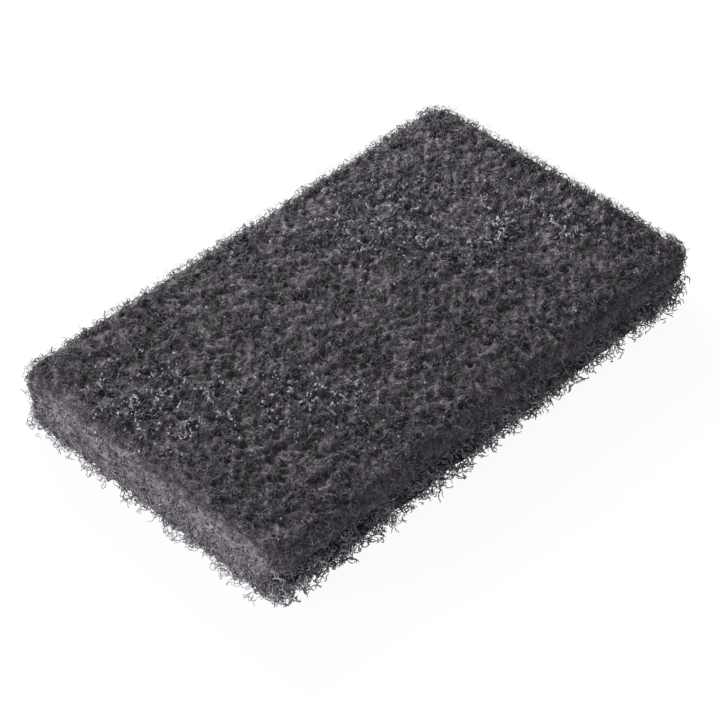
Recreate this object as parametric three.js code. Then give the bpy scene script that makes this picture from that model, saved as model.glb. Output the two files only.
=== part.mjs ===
// Scouring pad: crimped synthetic fibres, bonded with resin into one lofty slab and cut to a rectangle.
// Millimetres, +Z up. X runs along the length, and the origin is the middle of the face that the pad lies on.
// The slab is one closed skin. Its relief is the web of fibres at the scale of its tufts and pores: both
// faces and the cut sides are uneven, the rim of the lower face is frayed, and the tufts underneath lie flat.

import * as THREE from "three";
import { mergeVertices } from "three/addons/utils/BufferGeometryUtils.js";

// Driving dimensions of the slab, measured over the tufts
const LENGTH = 158;
const WIDTH = 95;
const THICKNESS = 20;
const CORNER_RADIUS = 5.5; // upright corners, seen from above
const EDGE_RADIUS = 3.5; // where the two faces turn into the cut sides

// The web of fibres
const WEB_PITCH = 2.8; // from one tuft or pore to the next
const TUFT_HEIGHT = 0.7; // unevenness of the tufts
const PORE_DEPTH = 1.4; // how far a pore sinks below the tufts round it
const PORE_SHARE = 0.34; // of the places in the web that are pores
const WEB_DRIFT = 0.8; // how far a tuft strays sideways from its place
const SWELL_HEIGHT = 0.7; // slow rise and fall of the upper face
const SWELL_LENGTH = 46; // from one rise to the next
const FRAY_HEIGHT = 6; // the band above the lower rim where fibres have come loose
const FRAY_DEPTH = 3; // how deep that band is notched
const WEB_SEED = 7;

const CHARCOAL = new THREE.Color(0.052, 0.048, 0.052);

const chance = () => THREE.MathUtils.seededRandom();
const stray = (reach) => reach * (2 * chance() - 1);

// A closed box whose faces are divided into one cell for each tuft or pore, standing on the XY plane.
function dividedBox() {
  const cells = (length) => Math.max(2, Math.round(length / WEB_PITCH));
  const box = new THREE.BoxGeometry(
    LENGTH, WIDTH, THICKNESS, cells(LENGTH), cells(WIDTH), cells(THICKNESS),
  );
  box.translate(0, 0, THICKNESS / 2);
  box.deleteAttribute("normal");
  box.deleteAttribute("uv");
  return mergeVertices(box);
}

// Bends two offsets from a fillet's centre from a square corner to a round one of the same reach.
function rounded(a, b) {
  const shrink = a > 0 && b > 0 ? Math.max(a, b) / Math.hypot(a, b) : 1;
  return [a * shrink, b * shrink];
}

// Rounds the upright corners, then the edges of the two faces.
function soften(geometry) {
  const place = geometry.attributes.position;
  const edge = Math.min(EDGE_RADIUS, CORNER_RADIUS);
  const core = { x: LENGTH / 2 - CORNER_RADIUS, y: WIDTH / 2 - CORNER_RADIUS, z: THICKNESS / 2 - edge };
  for (let i = 0; i < place.count; i++) {
    const [x, y, z] = [place.getX(i), place.getY(i), place.getZ(i) - THICKNESS / 2];
    const overX = Math.max(Math.abs(x) - core.x, 0);
    const overY = Math.max(Math.abs(y) - core.y, 0);
    const overZ = Math.max(Math.abs(z) - core.z, 0);
    const [outX, outY] = rounded(overX, overY);
    const out = Math.hypot(outX, outY);
    const inner = CORNER_RADIUS - edge;
    const [past, rise] = rounded(Math.max(out - inner, 0), overZ);
    const keep = out > inner ? (inner + past) / out : 1;
    place.setXYZ(
      i,
      Math.sign(x) * (Math.abs(x) - overX + outX * keep),
      Math.sign(y) * (Math.abs(y) - overY + outY * keep),
      THICKNESS / 2 + Math.sign(z) * (Math.abs(z) - overZ + rise),
    );
  }
  geometry.computeVertexNormals();
}

// How far the upper face has settled below its highest swell, from 0 to SWELL_HEIGHT.
function swell(x, y) {
  const turn = (2 * Math.PI) / SWELL_LENGTH;
  const wave = Math.sin(turn * (x + 0.4 * y)) + Math.sin(turn * (0.8 * y - 0.5 * x) + 1);
  return (SWELL_HEIGHT * (2 - wave)) / 4;
}

// Sinks each place of the skin by its own depth along the skin's normal, and lets it stray sideways.
// Returns the depths.
function raiseWeb(geometry) {
  THREE.MathUtils.seededRandom(WEB_SEED);
  const place = geometry.attributes.position;
  const normals = geometry.attributes.normal;
  const depths = [];
  const point = new THREE.Vector3();
  const outward = new THREE.Vector3();
  for (let i = 0; i < place.count; i++) {
    point.fromBufferAttribute(place, i);
    outward.fromBufferAttribute(normals, i);
    const faceUp = Math.max(outward.z, 0);
    const sideways = Math.hypot(outward.x, outward.y);
    const loose = sideways * Math.max(1 - point.z / FRAY_HEIGHT, 0);
    const pore = chance() < PORE_SHARE ? PORE_DEPTH : 0;
    const depth =
      pore + TUFT_HEIGHT * chance() + FRAY_DEPTH * loose * chance() + faceUp * swell(point.x, point.y);
    const drift = new THREE.Vector3(stray(WEB_DRIFT), stray(WEB_DRIFT), stray(WEB_DRIFT));
    drift.projectOnPlane(outward);
    point.addScaledVector(outward, -depth).add(drift);
    const lowest = point.z < TUFT_HEIGHT;
    place.setXYZ(i, point.x, point.y, lowest ? 0 : point.z);
    depths.push(depth);
  }
  return depths;
}

// Splits each four-cornered cell along the diagonal that joins its two higher corners, so that the strands
// between tufts stand up as ridges and each pore is a pit of its own.
function spanStrands(geometry, depths) {
  const index = geometry.index;
  for (let i = 0; i < index.count; i += 6) {
    const [a, b, c, d] = [index.getX(i), index.getX(i + 1), index.getX(i + 4), index.getX(i + 5)];
    const ridgeAC = depths[a] + depths[c] < depths[b] + depths[d];
    const corners = ridgeAC ? [a, b, c, a, c, d] : [a, b, d, b, c, d];
    corners.forEach((corner, k) => index.setX(i + k, corner));
  }
}

function fibrePad() {
  const skin = dividedBox();
  soften(skin);
  spanStrands(skin, raiseWeb(skin));
  skin.computeVertexNormals();
  const fibre = new THREE.MeshStandardMaterial({ color: CHARCOAL, roughness: 0.85, metalness: 0 });
  const pad = new THREE.Mesh(skin, fibre);
  pad.name = "fibre_pad";
  return pad;
}

const scouringPad = new THREE.Group();
scouringPad.add(fibrePad());

export default scouringPad;
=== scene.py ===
"""Looks of the scouring pad: a felted mat of crimped, resin-coated fibres with loose fibres over it.

The felt is a closed skin that lies a little below the skin of the slab. The fibres are closed tubes, grown
with a fixed seed so that they curl and still keep near that skin. Those of the top carry lumps and
grains of grit, which are painted pale as glints: part grit, part painted highlight. All the fibres are
painted lighter on tufts and where they lie higher, and darker in dips and deeper down, as painted light
and shade. The lace and the fringe are painted paler, as painted light through their thin fibres.
"""

from typing import NamedTuple

import bpy
import numpy as np
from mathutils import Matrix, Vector


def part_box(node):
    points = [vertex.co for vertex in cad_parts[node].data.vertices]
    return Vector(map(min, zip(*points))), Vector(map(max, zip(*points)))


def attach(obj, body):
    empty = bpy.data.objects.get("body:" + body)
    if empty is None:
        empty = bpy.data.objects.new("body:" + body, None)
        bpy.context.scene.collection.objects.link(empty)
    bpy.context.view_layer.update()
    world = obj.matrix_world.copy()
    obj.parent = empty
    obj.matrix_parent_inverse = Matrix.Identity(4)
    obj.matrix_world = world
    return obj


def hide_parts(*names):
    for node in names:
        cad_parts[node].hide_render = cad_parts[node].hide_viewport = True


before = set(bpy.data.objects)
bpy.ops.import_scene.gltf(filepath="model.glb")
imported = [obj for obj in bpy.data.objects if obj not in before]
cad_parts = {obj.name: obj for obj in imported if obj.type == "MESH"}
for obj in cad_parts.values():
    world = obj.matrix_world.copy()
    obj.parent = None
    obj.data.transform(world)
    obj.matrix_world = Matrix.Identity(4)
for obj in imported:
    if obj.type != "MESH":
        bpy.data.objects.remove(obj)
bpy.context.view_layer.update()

# Lengths are in millimetres until a mesh is made.
MM = 0.001
LOW, HIGH = (np.array(corner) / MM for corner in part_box("fibre_pad"))
CENTRE = (LOW + HIGH) / 2
HALF = (HIGH - LOW) / 2
X, Y, Z = range(3)
RNG = np.random.default_rng(11)

# The slab's form
EDGE_ROUND = 3.2  # where the faces turn into the flanks
CORNER_ROUND = 7.0  # upright corners, seen from above
TUFT_SPACING = (2.1, 4.6)  # from one tuft to the next, at two scales
TUFT_DEPTH = 1.0  # of the dips between tufts
FLANK_SHARE = 0.3  # of that depth on the flanks
WAVE_SPREAD = (0.8, 1.6)  # how far the waves of an uneven field stray from its length
MIDDLE = 0.5  # of the values of an uneven field or a noise

# The ragged lower rim of the front flank, where the web is drawn in
RIM_HEIGHT = 13.0
RIM_SPACING = (4.2, 1.8)  # from one notch to the next, at two scales
RIM_NOTCH = (6.0, 14.0)  # how far the web is drawn in at the bottom, least and most
RIM_SHARE = 0.1  # of that on the other flanks

# The felt
FELT_PITCH = 0.65  # the cells of its grid
FELT_SINK = (0.3, 1.0)  # below the web's skin on the top, least and most
FLANK_SINK = (0.15, 0.6)  # the same on the flanks
FELT_SPACING = 1.7  # from one rise of the felt to the next
EDGE_SINK = 0.6  # further down under the edge of the top
FLOOR_GAP = 0.2  # between the felt and the floor
UNDER_STRIDE = 4  # cells of the grid along one larger cell of the underside

# The fibres
FIBRE_RADIUS = (0.11, 0.18)
FIBRE_SKIN = (-0.1, 0.8)  # depths below the web's skin between which the fibres of the top keep
CURL_STRIDE = 0.9  # length of a step, as a share of the radius of the curl
STRIDE = (0.45, 0.8)  # shortest and longest step
CURL_FLIP = 0.35  # how often a fibre bends the other way
CURL_WANDER = 1.3  # how fast the axis of its bends strays
LOOSE_SHARE = 0.02  # of the fibres, which may rise higher than the rest
LOOSE_RISE = 0.8  # how much higher
TUBE_SIDES = 3
STRIP_GAP = 0.5  # between tubes laid flat, in cells
COAT_UNEVEN = (0.75, 1.3)  # thinnest and thickest place, as shares of the fibre's radius
TIP_SHARE = 0.6  # of the radius at the two ends
EDGE_THIN = 0.5  # by how much fibres are thinner half way round the edge of the top
EDGE_COUNT = 450  # fibres of fuzz on the edges of one pair of flanks

# Clumps low on the flanks: a lace over the front rim, and a fringe on the other flanks
CLUMP_RISE = (0.0, 0.3, 1.1)  # lowest, likeliest and highest clump, as shares of a height
CLUMP_SPREAD = 0.9
LACE_DEPTH = (0.5, 3.5)  # below the smooth skin
LACE_CLUMPS = 450
LACE_EACH = 8  # fibres in a clump
FRINGE_HEIGHT = 10.5
FRINGE_DEPTH = (0.0, 1.6)
FRINGE_EACH = 9

# Wisps at the front corner and single hairs, which stand out of the lower rim
ROOT_HEIGHT = (0.3, 5.0)
ROOT_DEPTH = 1.0
TUFT_LEAN = 0.6  # how far the heading of a tuft strays
TUFT_SPREAD = 0.7  # how far its roots lie apart
TUFT_SPLAY = 0.5  # how far the headings of its fibres stray
WISP_WAY = np.array([-0.7, -0.7, 0.0])
WISP_REACH = 3.0  # how far the tufts lie from the corner
WISP_TUFTS = 16
WISP_EACH = 8
HAIR_COUNT = 40

# Lumps on the fibres and grains of grit, painted pale as glints: part grit, part painted highlight. Patches
# of the top where they crowd, as x, y and radius
GRIT_GLINT_PATCHES = ((27, 20, 14), (46, 3, 13), (62, -13, 10), (-64, 13, 12), (-50, 0, 12), (-33, -15, 10))
STRING_SPACING = 8.0  # between the curving lines that they lie along in a patch
STRING_WIDTH = 0.12  # as a share of the field that draws the lines
STRING_CORE = 0.3  # the full middle of a line, in widths
LUMP_SPACING = 1.5
LUMP_START = 0.5  # where lumps begin on the field that places them
LUMP_RAMP = 0.3  # and the part of that field over which they grow
LUMP_SWELL = 0.5  # how much thicker a fibre is at a lump
LUMP_GRIT_GLINT = (0.08, 1.8)  # paleness of the lumps, a painted glint: off the lines, and in the middle of one
GRAIN_RATE = (0.004, 1.1)  # chance of a grain at each step of a fibre, and what a line adds to it
GRAIN_RADIUS = (0.25, 0.5)
GRAIN_UNEVEN = (0.5, 1.3)  # reach of a grain's corners, as shares of its radius
GRAIN_DEPTH = 0.4  # the deepest that a fibre with grains lies
GRAIN_LIFT = 0.08  # of a grain's middle off its fibre
# How pale a grain is: part grit, part painted glint.
GRAIN_GRIT_GLINT = (0.4, 1.0)
OCTAHEDRON = ((0, 1, 2), (1, 3, 2), (3, 4, 2), (4, 0, 2), (1, 0, 5), (3, 1, 5), (4, 3, 5), (0, 4, 5))

# The six faces of the slab, as axis and side, and the felt's grid over them
FACES = ((X, 0), (X, 1), (Y, 0), (Y, 1), (Z, 0), (Z, 1))
UNDER, TOP = 4, 5
STRAIGHT = HALF - EDGE_ROUND
UNFOLDED = STRAIGHT + EDGE_ROUND * np.pi / 4
CELLS = np.round(2 * UNFOLDED / FELT_PITCH).astype(int)

# The materials, with the scales of their noise in waves to the metre
GRIT_SCALE = 1600
BIT_SCALE = 750
TUFT_SCALE = 200
CLOUD_SCALE = 80
WEB_LINES = ((400, 1.0), (540, 0.8), (730, 0.6), (1000, 0.45))  # each set of matted lines, with its height
LINE_WIDTH = 0.1  # as a share of the noise that draws the lines
SPECULAR = 0.3

# The studio, in metres and watts
FLOOR_HALF = 3.0
FLOOR_GREY = 0.85
FLOOR_ROUGHNESS = 0.9
FLOOR_GLOW = 0.94  # how far the camera sees the floor as plain white: the rest keeps the shadow
WORLD_LIGHT = 0.43
WORLD_WHITE = 0.95  # as the camera sees it
LAMPS = (
    ("key", (-0.9, 0.25, 0.2), 0.9, (1.4, 0.4), 24.0),
    ("back", (0.4, 0.75, 0.5), 0.34, (0.3, 0.2), 2.5),
)

# The camera, from the fit of the slab to its outline
SENSOR = 36
LENS = 111.57
NEAREST = 0.01
AZIMUTH = -45.77
ELEVATION = 43.70
AIM = (-0.00807, -0.00548, 0.009)
DISTANCE = 0.5847


class Kind(NamedTuple):
    """How one kind of fibre grows and looks."""

    skin: tuple  # depths below the web's skin between which it keeps
    steps: int  # from end to end
    curl: tuple  # least and greatest radius of its bends
    thickness: float  # as a share of the fibre radius
    shades: tuple = (0.0, 1.0)  # darkest and palest


TOP_FIBRE = Kind(skin=FIBRE_SKIN, steps=14, curl=(0.5, 1.0), thickness=1.0)
FLANK_FIBRE = Kind(skin=(0.05, 0.6), steps=14, curl=(0.5, 1.0), thickness=0.9)
EDGE_FUZZ = Kind(skin=(-0.8, 0.6), steps=8, curl=(0.7, 1.8), thickness=0.35)
# The lace and the fringe get paler shades as painted light: light through their thin fibres and up from the
# floor.
LACE = Kind(skin=(-12.0, 9.0), steps=5, curl=(0.4, 0.9), thickness=1.0, shades=(1.0, 3.0))
FRINGE = Kind(skin=(-2.6, 9.0), steps=6, curl=(0.45, 1.1), thickness=0.6, shades=(0.5, 2.0))
WISP = Kind(skin=(-3.5, 9.0), steps=10, curl=(0.6, 2.0), thickness=0.5)
HAIR = Kind(skin=(-2.5, 9.0), steps=14, curl=(3.0, 9.0), thickness=0.4)

# The webs: piece, fibres, axis and side of the face, and kind
WEBS = (
    ("top_web_1", 1430, Z, 1, TOP_FIBRE),
    ("top_web_2", 1430, Z, 1, TOP_FIBRE),
    ("top_web_3", 1430, Z, 1, TOP_FIBRE),
    ("front_web", 700, Y, 0, FLANK_FIBRE),
    ("back_web", 620, Y, 1, FLANK_FIBRE),
    ("left_web", 500, X, 0, FLANK_FIBRE),
    ("right_web", 450, X, 1, FLANK_FIBRE),
)

# The fringes: piece, axis and sides of the flanks, and clumps
FRINGES = (
    ("end_fringe", X, [-1.0, 1.0], 180),
    ("back_fringe", Y, [1.0], 100),
)


def unit(vectors):
    """Vectors brought to length 1."""
    return vectors / np.maximum(np.linalg.norm(vectors, axis=-1, keepdims=True), 1e-9)


def wave_field(*lengths, waves=24):
    """A smooth uneven field, from 0 to 1, with rises about each of the lengths apart."""
    spacing = np.repeat(lengths, waves)[:, None] * RNG.uniform(*WAVE_SPREAD, (waves * len(lengths), 1))
    turns = unit(RNG.normal(size=(len(spacing), 3))) * 2 * np.pi / spacing
    phases = RNG.uniform(0, 2 * np.pi, len(spacing))

    def value(points):
        waviness = np.sum(np.cos(points @ turns.T + phases), axis=-1) / np.sqrt(len(spacing))
        return np.clip(MIDDLE + 0.5 * waviness, 0, 1)

    return value


dips = wave_field(*TUFT_SPACING)
rim_waves = wave_field(*RIM_SPACING)
matted = wave_field(FELT_SPACING)
lumps = wave_field(LUMP_SPACING)
strings = wave_field(STRING_SPACING)


def across(axis):
    """The other two axes, in turn."""
    return (axis + 1) % 3, (axis + 2) % 3


def fold(run):
    """Places on the box whose rays to the rounded skin land at even runs along it, from the middle."""
    past = np.maximum(np.abs(run) - STRAIGHT, 0)
    reach = np.minimum(np.abs(run), STRAIGHT) + EDGE_ROUND * np.tan(past / EDGE_ROUND)
    return CENTRE + np.sign(run) * reach


def rounded(places, half, radius):
    """How far places in a quarter plane lie outside a rectangle with a round corner, and the way out."""
    over = places - (half - radius)
    outside = np.maximum(over, 0)
    deepest = np.max(over, axis=-1)
    reach = np.where(deepest > 0, np.linalg.norm(outside, axis=-1), deepest)
    nearest = (over == deepest[..., None]).astype(float)
    return reach - radius, unit(np.where((deepest > 0)[..., None], outside, nearest))


def slab_depth(points):
    """How far points lie below the smooth skin of the rounded slab, and the outward direction there."""
    offset = points - CENTRE
    side, way = rounded(np.abs(offset[..., :Z]), HALF[:Z], CORNER_ROUND)
    plan = np.stack([HALF[X] + side, np.abs(offset[..., Z])], axis=-1)
    over, lean = rounded(plan, HALF[[X, Z]], EDGE_ROUND)
    outward = np.concatenate([way * lean[..., :1], lean[..., 1:]], axis=-1)
    return -over, outward * np.sign(offset)


def flanking(outward):
    """How far the skin faces sideways, from 0 on the top and underside to 1 on the flanks."""
    return np.hypot(outward[..., X], outward[..., Y])


def edging(outward):
    """How far the skin turns over the edge of the top, from 0 on the faces to 1 half way round."""
    return 2 * flanking(outward) * np.clip(outward[..., Z], 0, 1)


def dimples(points, outward):
    """How far points lie in the dips between tufts, which are shallow on the flanks: 0 to 1."""
    return dips(points) * (1 - (1 - FLANK_SHARE) * flanking(outward))


def web_depth(points):
    """Depth below the skin with its tufts and its ragged lower rim, and the outward direction."""
    depth, outward = slab_depth(points)
    low = np.clip(1 - (points[..., Z] - LOW[Z]) / RIM_HEIGHT, 0, 1)
    torn = RIM_SHARE * flanking(outward) + (1 - RIM_SHARE) * np.clip(-outward[..., Y], 0, 1)
    notch = torn * low * (RIM_NOTCH[0] + (RIM_NOTCH[1] - RIM_NOTCH[0]) * rim_waves(points))
    return depth - TUFT_DEPTH * dimples(points, outward) - notch, outward


def on_face(count, axis, side):
    """Places a little below one face of the slab, and headings along it."""
    u, v = across(axis)
    places = np.empty((count, 3))
    places[:, [u, v]] = RNG.uniform(LOW[[u, v]], HIGH[[u, v]], (count, 2))
    places[:, axis] = HIGH[axis] if side else LOW[axis]
    depth, outward = web_depth(places)
    places += outward * (depth - RNG.uniform(*FIBRE_SKIN, count))[:, None]
    return places, unit(np.cross(outward, RNG.normal(size=(count, 3))))


def along_flanks(axis, count, sides=(-1.0, 1.0)):
    """Places spread along one flank or two opposite ones, at half height, and the ways out of them."""
    way = np.zeros((count, 3))
    way[:, axis] = RNG.choice(sides, count)
    run = Y if axis == X else X
    places = CENTRE + way * HALF
    places[:, run] += RNG.uniform(-1, 1, count) * HALF[run]
    return places, way


def at_corner(count, way):
    """Places spread about one upright corner, at half height, and the way out of it."""
    places = CENTRE + np.sign(way) * HALF + RNG.normal(scale=WISP_REACH, size=(count, 3))
    return places, np.tile(way, (count, 1))


def on_rim(places, way, each):
    """Places inside the ragged lower rim, in tufts that root deeper at the ends, and headings out of it."""
    tufts = len(places)
    places[:, Z] = LOW[Z] + RNG.uniform(*ROOT_HEIGHT, tufts)
    depth, outward = web_depth(places)
    places += outward * (depth - ROOT_DEPTH - np.abs(outward[:, X]))[:, None]
    heading = way + TUFT_LEAN * RNG.normal(size=(tufts, 3))
    places = np.repeat(places, each, axis=0) + RNG.normal(scale=TUFT_SPREAD, size=(tufts * each, 3))
    heading = np.repeat(heading, each, axis=0) + TUFT_SPLAY * RNG.normal(size=(tufts * each, 3))
    return places, unit(heading)


def in_clumps(places, each, depths, height):
    """Places low on a flank, in clumps that thin out upward, and headings every way."""
    clumps = len(places)
    depth, outward = slab_depth(places)
    places += outward * (depth - RNG.uniform(*depths, clumps))[:, None]
    places[:, Z] = LOW[Z] + height * RNG.triangular(*CLUMP_RISE, clumps)
    places = np.repeat(places, each, axis=0) + RNG.normal(scale=CLUMP_SPREAD, size=(clumps * each, 3))
    return places, unit(RNG.normal(size=places.shape))


def on_edge(places, way):
    """Places on the rounded edge above the flanks, and headings along the skin."""
    places[:, Z] = HIGH[Z]
    places += way * RNG.uniform(-EDGE_ROUND, EDGE_ROUND / 2, (len(places), 1))
    depth, outward = web_depth(places)
    places += outward * depth[:, None]
    return places, unit(np.cross(outward, RNG.normal(size=places.shape)))


def grow(starts, heading, kind):
    """Paths of crimped fibres that keep near the web's skin and off the floor: (steps + 1, count, 3)."""
    count = len(starts)
    shallow, deep = kind.skin
    shallow = shallow - LOOSE_RISE * (RNG.random(count) < LOOSE_SHARE)
    radius = RNG.uniform(*kind.curl, (count, 1))
    stride = np.clip(CURL_STRIDE * radius, *STRIDE)
    bend = RNG.choice([-1.0, 1.0], (count, 1))
    axis = unit(RNG.normal(size=(count, 3)))
    path = [starts]
    for _ in range(kind.steps):
        axis = unit(axis + CURL_WANDER * RNG.normal(size=(count, 3)))
        hinge = unit(axis - heading * np.sum(axis * heading, axis=1, keepdims=True))
        bend = np.where(RNG.random((count, 1)) < CURL_FLIP, -bend, bend)
        turn = bend * stride / radius
        heading = heading * np.cos(turn) + np.cross(hinge, heading) * np.sin(turn)
        depth, outward = web_depth(path[-1])
        push = np.clip(depth - deep, 0, None) - np.clip(shallow - depth, 0, None)
        heading = unit(heading + outward * push[:, None])
        path.append(path[-1] + heading * stride)
    path = np.array(path)
    path[..., Z] = np.maximum(path[..., Z], LOW[Z] + 2 * FIBRE_RADIUS[1])
    return path


def crowding(points):
    """How far points of the top lie on a line of painted glints, from 0 to about 1 in the middle of a
    patch.
    """
    crowd = np.zeros(points.shape[:-1])
    for x, y, radius in GRIT_GLINT_PATCHES:
        crowd += np.exp(-((points[..., X] - x) ** 2 + (points[..., Y] - y) ** 2) / radius**2)
    return crowd * np.clip(1 + STRING_CORE - np.abs(strings(points) - MIDDLE) / STRING_WIDTH, 0, 1)


def new_piece(name, corners, loops, sizes, flat, traits, material):
    """An object of faces: their corners' numbers in turn, how many each has, and places laid flat."""
    mesh = bpy.data.meshes.new(name)
    mesh.vertices.add(len(corners))
    mesh.vertices.foreach_set("co", (corners * MM).astype(np.float32).ravel())
    mesh.loops.add(len(loops))
    mesh.loops.foreach_set("vertex_index", loops.astype(np.int32))
    mesh.polygons.add(len(sizes))
    mesh.polygons.foreach_set("loop_start", (np.cumsum(sizes) - sizes).astype(np.int32))
    mesh.polygons.foreach_set("use_smooth", np.ones(len(sizes), dtype=bool))
    mesh.update(calc_edges=True)
    layer = mesh.uv_layers.new(name="OFBake")
    layer.data.foreach_set("uv", flat.astype(np.float32).ravel())
    for trait, values in traits.items():
        data = mesh.attributes.new(trait, "FLOAT", "POINT").data
        data.foreach_set("value", values.astype(np.float32).ravel())
    mesh.materials.append(material)
    piece = bpy.data.objects.new(name, mesh)
    bpy.context.scene.collection.objects.link(piece)
    return piece


def tubes(path, thickness):
    """Rings of corners round each path: (count, steps + 1, sides, 3). The coat makes each tube uneven."""
    rings, count, _ = path.shape
    coat = RNG.uniform(*FIBRE_RADIUS, (1, count))
    radius = thickness * coat * RNG.uniform(*COAT_UNEVEN, (rings, count))
    radius[[0, -1]] *= TIP_SHARE
    along = unit(np.gradient(path, axis=0))
    side = unit(np.cross(along[0], unit(RNG.normal(size=(count, 3)))))
    turns = np.arange(TUBE_SIDES) * 2 * np.pi / TUBE_SIDES
    corners = []
    for centre, ahead, thick in zip(path, along, radius):
        side = unit(side - ahead * np.sum(side * ahead, axis=1, keepdims=True))
        other = np.cross(ahead, side)
        spokes = side[:, None] * np.cos(turns)[:, None] + other[:, None] * np.sin(turns)[:, None]
        corners.append(centre[:, None] + spokes * thick[:, None, None])
    return np.array(corners).transpose(1, 0, 2, 3)


def strip_map(count, rings):
    """Flat places of the tubes' faces: each tube is a strip of its own, with its two caps at the end."""
    long, wide = rings + 1 + STRIP_GAP, TUBE_SIDES + STRIP_GAP
    columns = max(1, round(np.sqrt(count * wide / long)))
    rows = -(-count // columns)
    number = np.arange(count)
    base = np.stack([number % columns * long, number // columns * wide], axis=1)
    steps, turns = np.meshgrid(np.arange(rings - 1), np.arange(TUBE_SIDES), indexing="ij")
    cells = np.stack([steps, turns], axis=-1)[None, :, :, None]
    quad = np.array([(0, 0), (0, 1), (1, 1), (1, 0)])
    quads = base[:, None, None, None] + cells + quad
    cap = np.array([(0.15, 0.2), (0.85, 0.2), (0.5, 0.9)])
    first = base[:, None] + cap + (rings - 1, 0)
    last = base[:, None] + cap + (rings, 0)
    flat = np.concatenate([quads.reshape(-1, 2), first.reshape(-1, 2), last.reshape(-1, 2)])
    return flat / (columns * long, rows * wide)


def strands(name, path, kind, material):
    """One piece of closed tubes, each with a shade of its own."""
    rings, count, _ = path.shape
    depth, outward = web_depth(path)
    # Lumps are painted pale as glints, most along the lines in the patches: part grit, part painted
    # highlight.
    coat = LUMP_GRIT_GLINT[0] + (LUMP_GRIT_GLINT[1] - LUMP_GRIT_GLINT[0]) * np.minimum(crowding(path), 1)
    grit_and_glint = coat * np.clip((lumps(path) - LUMP_START) / LUMP_RAMP, 0, 1) * (1 - flanking(outward))
    thinned = kind.thickness * (1 - EDGE_THIN * edging(outward))
    corners = tubes(path, thinned * (1 + LUMP_SWELL * grit_and_glint))
    place = np.arange(count * rings * TUBE_SIDES).reshape(count, rings, TUBE_SIDES)
    after = np.roll(place, -1, axis=2)
    quads = np.stack([place[:, :-1], after[:, :-1], after[:, 1:], place[:, 1:]], axis=-1).reshape(-1, 4)
    caps = np.concatenate([place[:, 0, ::-1], place[:, -1]])
    loops = np.concatenate([quads.ravel(), caps.ravel()])
    sizes = np.concatenate([np.full(len(quads), 4), np.full(len(caps), TUBE_SIDES)])
    # Fibres that lie higher are painted lighter and deeper ones darker: painted shade of the pores.
    painted_depth_light = np.clip((FIBRE_SKIN[1] - depth) / (FIBRE_SKIN[1] - FIBRE_SKIN[0]), 0, 1)
    flank = np.where(outward[..., Z] < 0, 1, flanking(outward))
    traits = {
        # Each fibre's own shade; the paler shades of the lace and the fringe are painted light.
        "shade": np.repeat(RNG.uniform(*kind.shades, count), rings * TUBE_SIDES),
        "painted_depth_light": np.repeat(painted_depth_light.T.ravel(), TUBE_SIDES),
        # Painted light on tufts and painted shade in the dips between them.
        "painted_tuft_light": np.repeat(1 - dimples(path, outward).T.ravel(), TUBE_SIDES),
        "flank": np.repeat(flank.T.ravel(), TUBE_SIDES),
        # Painted glint on the lumps.
        "grit_and_glint": np.repeat(grit_and_glint.T.ravel(), TUBE_SIDES),
    }
    flat = strip_map(count, rings)
    return new_piece(name, corners.reshape(-1, 3), loops, sizes, flat, traits, material)


def grains(name, path, material):
    """One piece of grains of grit stuck to fibres: small uneven octahedra, painted pale as glints."""
    depth, outward = web_depth(path)
    outer = (path + GRAIN_LIFT * outward)[depth < GRAIN_DEPTH]
    centres = outer[RNG.random(len(outer)) < GRAIN_RATE[0] + GRAIN_RATE[1] * crowding(outer)]
    count = len(centres)
    first = unit(RNG.normal(size=(count, 3)))
    second = unit(np.cross(first, RNG.normal(size=(count, 3))))
    half_spokes = np.stack([first, second, np.cross(first, second)], axis=1)
    spokes = np.concatenate([half_spokes, -half_spokes], axis=1)
    ends = spokes.shape[1]
    size = RNG.uniform(*GRAIN_RADIUS, (count, 1, 1)) * RNG.uniform(*GRAIN_UNEVEN, (count, ends, 1))
    corners = centres[:, None] + spokes * size
    loops = (np.arange(count)[:, None, None] * ends + np.array(OCTAHEDRON)).ravel()
    number = np.arange(count * len(OCTAHEDRON))
    sizes = np.full(len(number), 3)
    columns = int(np.ceil(np.sqrt(len(number))))
    triangle = np.array([(0.1, 0.1), (0.9, 0.1), (0.5, 0.9)])
    flat = np.stack([number % columns, number // columns], axis=1)[:, None] + triangle
    flat = flat.reshape(-1, 2) / columns
    traits = {
        "shade": np.repeat(RNG.random(count), ends),
        # Grains sit high, so they get the full painted light of depth and tufts.
        "painted_depth_light": np.ones(count * ends),
        "painted_tuft_light": np.ones(count * ends),
        # Paleness of a grain: part grit, part painted glint.
        "grain_glint": np.repeat(RNG.uniform(*GRAIN_GRIT_GLINT, count), ends),
    }
    return new_piece(name, corners.reshape(-1, 3), loops, sizes, flat, traits, material)


def felt_grid():
    """Corners on the smooth skin, the outward directions, and a table of their numbers for each face."""
    steps = []
    for axis, side in FACES:
        u, v = across(axis)
        rows, columns = np.meshgrid(np.arange(CELLS[u] + 1), np.arange(CELLS[v] + 1), indexing="ij")
        step = np.empty((*rows.shape, 3), dtype=int)
        step[..., axis] = side * CELLS[axis]
        step[..., u] = rows
        step[..., v] = columns
        steps.append(step)
    listed = np.concatenate([step.reshape(-1, 3) for step in steps])
    every, numbers = np.unique(listed, axis=0, return_inverse=True)
    ends = np.cumsum([step.size // 3 for step in steps])
    parts = np.split(numbers.ravel(), ends[:-1])
    tables = [part.reshape(step.shape[:2]) for part, step in zip(parts, steps)]
    box = fold((2 * every / CELLS - 1) * UNFOLDED)
    depth, outward = slab_depth(box)
    return box + outward * depth[:, None], outward, tables


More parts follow.
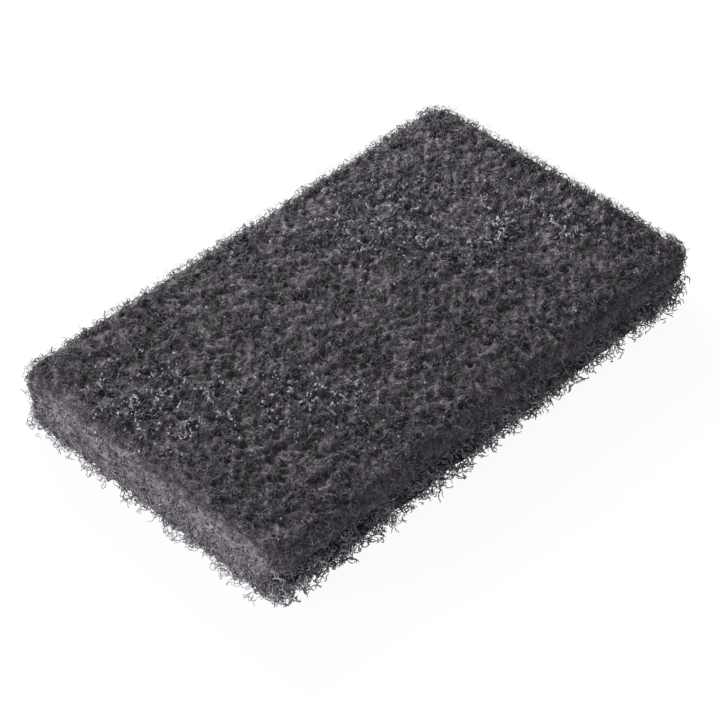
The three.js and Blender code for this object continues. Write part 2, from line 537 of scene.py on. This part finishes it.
def quad_cells(table, side):
    """The cells of one face's table: places in the table in turn, and four of them for each cell."""
    rows, columns = np.meshgrid(*(np.arange(size - 1) for size in table.shape), indexing="ij")
    ring = ((0, 0), (1, 0), (1, 1), (0, 1)) if side else ((0, 0), (0, 1), (1, 1), (1, 0))
    cells = np.array([[rows + r, columns + c] for r, c in ring]).reshape(4, 2, -1).transpose(2, 0, 1)
    return cells.reshape(-1, 2), np.full(len(cells), 4)


def under_cells(table):
    """Larger cells for the underside, which keep every corner along the table's border."""
    last = np.array(table.shape) - 1
    cuts = [[*range(0, end, UNDER_STRIDE), end] for end in last]

    def walk(start, end, on_border):
        step = 1 if end > start else -1
        return range(start, end, step) if on_border else [start]

    rings = []
    for low, high in zip(cuts[0], cuts[0][1:]):
        for near, far in zip(cuts[1], cuts[1][1:]):
            ring = [(low, c) for c in walk(near, far, low == 0)]
            ring += [(r, far) for r in walk(low, high, far == last[1])]
            ring += [(high, c) for c in walk(far, near, high == last[0])]
            ring += [(r, near) for r in walk(high, low, near == 0)]
            rings.append(ring)
    return np.concatenate(rings), np.array([len(ring) for ring in rings])


def felt(material):
    """The felted mat, in two pieces: the top, and the flanks with the underside."""
    corners, outward, tables = felt_grid()
    depth, _ = web_depth(corners)
    flank = flanking(outward)
    low, high = (top + (side - top) * flank for top, side in zip(FELT_SINK, FLANK_SINK))
    sink = low + (high - low) * matted(corners) + EDGE_SINK * edging(outward)
    corners = corners + outward * (depth - sink)[:, None]
    # Painted light on the tufts and painted shade in the dips between them.
    painted_tuft_light = 1 - dimples(corners, outward)
    corners[:, Z] = np.maximum(corners[:, Z], LOW[Z] + FLOOR_GAP)
    groups = {
        "felt_top": [(tables[TOP], 1)],
        "felt_flanks": [(table, side) for (_, side), table in zip(FACES[:-1], tables)],
    }
    pieces = []
    for name, parts in groups.items():
        loops, sizes, flat = [], [], []
        shelf = 0
        for table, side in parts:
            cells, counts = under_cells(table) if table is tables[UNDER] else quad_cells(table, side)
            loops.append(table[cells[:, 0], cells[:, 1]])
            sizes.append(counts)
            flat.append(cells + (shelf, 0))
            shelf += table.shape[0] + 1
        sizes = np.concatenate(sizes)
        flat = np.concatenate(flat)
        flat = flat / (flat.max(axis=0) + 1)
        used, renumbered = np.unique(np.concatenate(loops), return_inverse=True)
        traits = {"painted_tuft_light": painted_tuft_light[used]}
        pieces.append(new_piece(name, corners[used], renumbered.ravel(), sizes, flat, traits, material))
    return pieces


def nodes_of(material):
    """A material's node tree and its shader."""
    material.use_nodes = True
    tree = material.node_tree
    return tree, tree.nodes["Principled BSDF"]


def attribute(tree, name):
    """A trait of the mesh, which is 0 on pieces that don't have it."""
    node = tree.nodes.new("ShaderNodeAttribute")
    node.attribute_name = name
    return node.outputs["Fac"]


def noise(tree, coords, scale, detail=1.0):
    """Uneven values from 0 to 1 over the material."""
    node = tree.nodes.new("ShaderNodeTexNoise")
    node.inputs["Scale"].default_value = scale
    node.inputs["Detail"].default_value = detail
    tree.links.new(coords, node.inputs["Vector"])
    return node.outputs["Fac"]


def ramp(tree, value, *stops):
    """A colour for each value, between stops of a place and a colour."""
    node = tree.nodes.new("ShaderNodeValToRGB")
    band = node.color_ramp
    while len(band.elements) < len(stops):
        band.elements.new(1.0)
    for element, (place, colour) in zip(band.elements, stops):
        element.position = place
        element.color = (*colour, 1.0)
    tree.links.new(value, node.inputs["Fac"])
    return node.outputs["Color"]


def reckon(tree, operation, *values):
    """The result of one sum on values, each of which is a number or another node's output."""
    node = tree.nodes.new("ShaderNodeMath")
    node.operation = operation
    for socket, value in zip(node.inputs, values):
        if isinstance(value, (int, float)):
            socket.default_value = value
        else:
            tree.links.new(value, socket)
    return node.outputs["Value"]


def blend(tree, *shares):
    """The sum of values, each times its share."""
    total = None
    for value, share in shares:
        part = reckon(tree, "MULTIPLY", value, share)
        total = part if total is None else reckon(tree, "ADD", total, part)
    return total


def rescale(tree, value, span, new_span):
    """A value from one span taken to another one."""
    node = tree.nodes.new("ShaderNodeMapRange")
    node.inputs["From Min"].default_value, node.inputs["From Max"].default_value = span
    node.inputs["To Min"].default_value, node.inputs["To Max"].default_value = new_span
    tree.links.new(value, node.inputs["Value"])
    return node.outputs["Result"]


def bump(tree, shader, height, strength, distance):
    """Fine relief on a shader, from heights."""
    node = tree.nodes.new("ShaderNodeBump")
    node.inputs["Strength"].default_value = strength
    node.inputs["Distance"].default_value = distance
    tree.links.new(height, node.inputs["Height"])
    tree.links.new(node.outputs["Normal"], shader.inputs["Normal"])


def fibre_material():
    """Charcoal fibres in a gritty coat, paler on the flanks, with painted light on tufts and high fibres,
    painted shade in dips and deep down, and glossy lumps and grains of grit painted pale as glints.
    """
    material = bpy.data.materials.new("coated_fibre")
    tree, shader = nodes_of(material)
    coords = tree.nodes.new("ShaderNodeTexCoord").outputs["Object"]
    grit = noise(tree, coords, GRIT_SCALE, detail=3.0)
    grit_and_glint = attribute(tree, "grit_and_glint")
    grain_glint = attribute(tree, "grain_glint")
    tone = blend(
        tree,
        (attribute(tree, "shade"), 0.07),
        # painted light on fibres that lie higher, painted shade on deeper ones
        (attribute(tree, "painted_depth_light"), 0.12),
        # painted light on tufts, painted shade in dips
        (attribute(tree, "painted_tuft_light"), 0.13),
        (noise(tree, coords, BIT_SCALE), 0.55),
        (noise(tree, coords, TUFT_SCALE), 0.13),
        (noise(tree, coords, CLOUD_SCALE), 0.13),
        (attribute(tree, "flank"), 0.13),
        # lumps and grains painted pale as glints
        (grit_and_glint, 0.52),
        (grain_glint, 0.36),
    )
    colour = ramp(
        tree,
        tone,
        (0.38, (0.017, 0.0146, 0.018)),
        (0.6, (0.041, 0.0353, 0.044)),
        (0.8, (0.08, 0.0695, 0.0865)),
        # the palest stop is the painted glint of lumps and grains
        (1.0, (0.3, 0.292, 0.322)),
    )
    tree.links.new(colour, shader.inputs["Base Color"])
    gloss = blend(tree, (grit, 0.6), (grit_and_glint, 0.4), (grain_glint, 0.35))
    tree.links.new(rescale(tree, gloss, (0.2, 0.8), (0.75, 0.3)), shader.inputs["Roughness"])
    shader.inputs["Specular IOR Level"].default_value = SPECULAR
    shader.inputs["Diffuse Roughness"].default_value = 1.0
    bump(tree, shader, grit, strength=0.4, distance=0.0001)
    return material


def felt_material():
    """Fibres matted together: thin curling lines over dark gaps, with painted light on the tufts and
    painted shade in the dips between them.
    """
    material = bpy.data.materials.new("matted_fibre")
    tree, shader = nodes_of(material)
    coords = tree.nodes.new("ShaderNodeTexCoord").outputs["Object"]
    web = None
    for scale, height in WEB_LINES:
        off = reckon(tree, "ABSOLUTE", reckon(tree, "SUBTRACT", noise(tree, coords, scale), MIDDLE))
        line = rescale(tree, off, (0.0, LINE_WIDTH), (height, 0.0))
        web = line if web is None else reckon(tree, "MAXIMUM", web, line)
    tone = blend(
        tree,
        (web, 0.36),
        (noise(tree, coords, BIT_SCALE), 0.45),
        # painted light on tufts, painted shade in dips
        (attribute(tree, "painted_tuft_light"), 0.18),
        (noise(tree, coords, TUFT_SCALE), 0.12),
        (noise(tree, coords, CLOUD_SCALE), 0.14),
    )
    colour = ramp(
        tree,
        tone,
        (0.35, (0.009, 0.0077, 0.0092)),
        (0.62, (0.038, 0.0324, 0.0394)),
        (0.9, (0.1, 0.086, 0.104)),
    )
    tree.links.new(colour, shader.inputs["Base Color"])
    tree.links.new(rescale(tree, web, (0.0, 1.0), (0.8, 0.5)), shader.inputs["Roughness"])
    shader.inputs["Specular IOR Level"].default_value = SPECULAR
    bump(tree, shader, web, strength=0.8, distance=0.0003)
    return material


def build():
    """The felt, and the fibres and grains over it, in place of the part's one solid."""
    fibre = fibre_material()
    pieces = felt(felt_material())

    def add(name, starts, kind):
        """One more piece of fibres, from places and headings. Returns their paths."""
        path = grow(*starts, kind)
        pieces.append(strands(name, path, kind, fibre))
        return path

    for name, count, axis, side, kind in WEBS:
        web = add(name, on_face(count, axis, side), kind)
        if axis == Z:
            pieces.append(grains(name.replace("web", "grit"), web, fibre))
    for axis, name in ((X, "end_edges"), (Y, "side_edges")):
        add(name, on_edge(*along_flanks(axis, EDGE_COUNT)), EDGE_FUZZ)
    flank, _ = along_flanks(Y, LACE_CLUMPS, [-1.0])
    add("front_lace", in_clumps(flank, LACE_EACH, LACE_DEPTH, RIM_HEIGHT), LACE)
    for name, axis, sides, clumps in FRINGES:
        flank, _ = along_flanks(axis, clumps, sides)
        add(name, in_clumps(flank, FRINGE_EACH, FRINGE_DEPTH, FRINGE_HEIGHT), FRINGE)
    add("corner_wisps", on_rim(*at_corner(WISP_TUFTS, WISP_WAY), WISP_EACH), WISP)
    add("hairs", on_rim(*along_flanks(Y, HAIR_COUNT), 1), HAIR)
    for piece in pieces:
        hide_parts("fibre_pad")
        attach(piece, "root")


def lay_floor():
    """A pale floor that the camera sees as nearly white. The pad has no metal or glass to mirror it."""
    mesh = bpy.data.meshes.new("floor")
    ring = ((-1, -1), (1, -1), (1, 1), (-1, 1))
    mesh.from_pydata([(x * FLOOR_HALF, y * FLOOR_HALF, 0) for x, y in ring], [], [(0, 1, 2, 3)])
    floor = bpy.data.objects.new("floor", mesh)
    bpy.context.scene.collection.objects.link(floor)
    material = bpy.data.materials.new("floor_white")
    tree, shader = nodes_of(material)
    shader.inputs["Base Color"].default_value = (FLOOR_GREY, FLOOR_GREY, FLOOR_GREY, 1)
    shader.inputs["Roughness"].default_value = FLOOR_ROUGHNESS
    glow = tree.nodes.new("ShaderNodeEmission")
    mix = tree.nodes.new("ShaderNodeMixShader")
    path = tree.nodes.new("ShaderNodeLightPath")
    share = reckon(tree, "MULTIPLY", path.outputs["Is Camera Ray"], FLOOR_GLOW)
    tree.links.new(share, mix.inputs["Fac"])
    tree.links.new(shader.outputs["BSDF"], mix.inputs[1])
    tree.links.new(glow.outputs["Emission"], mix.inputs[2])
    tree.links.new(mix.outputs["Shader"], tree.nodes["Material Output"].inputs["Surface"])
    mesh.materials.append(material)


def light_world():
    """An even light all round, which the camera sees as nearly white."""
    world = bpy.data.worlds.new("studio")
    bpy.context.scene.world = world
    world.use_nodes = True
    tree = world.node_tree
    back = tree.nodes["Background"]
    back.inputs["Color"].default_value = (1, 1, 1, 1)
    path = tree.nodes.new("ShaderNodeLightPath")
    added = reckon(tree, "MULTIPLY", path.outputs["Is Camera Ray"], WORLD_WHITE - WORLD_LIGHT)
    tree.links.new(reckon(tree, "ADD", added, WORLD_LIGHT), back.inputs["Strength"])


def hang_lamp(name, direction, distance, size, power):
    """A soft lamp that faces the pad."""
    light = bpy.data.lights.new(name, "AREA")
    light.shape = "ELLIPSE"
    light.size, light.size_y = size
    light.energy = power
    ob = bpy.data.objects.new(name, light)
    ob.location = Vector(direction).normalized() * distance
    ob.rotation_euler = ob.location.to_track_quat("Z", "Y").to_euler()
    bpy.context.scene.collection.objects.link(ob)


def studio():
    """A plain pale floor in soft light."""
    lay_floor()
    light_world()
    for lamp in LAMPS:
        hang_lamp(*lamp)


def camera():
    """The photograph's view of the pad."""
    data = bpy.data.cameras.new("camera")
    data.sensor_width = SENSOR
    data.lens = LENS
    data.clip_start = NEAREST
    ob = bpy.data.objects.new("camera", data)
    azimuth, elevation = np.radians(AZIMUTH), np.radians(ELEVATION)
    level = np.cos(elevation)
    back = Vector((np.sin(azimuth) * level, -np.cos(azimuth) * level, np.sin(elevation)))
    ob.location = Vector(AIM) + back * DISTANCE
    ob.rotation_euler = back.to_track_quat("Z", "Y").to_euler()
    bpy.context.scene.collection.objects.link(ob)
    bpy.context.scene.camera = ob


build()
studio()
camera()
bpy.context.scene.view_settings.view_transform = "Standard"
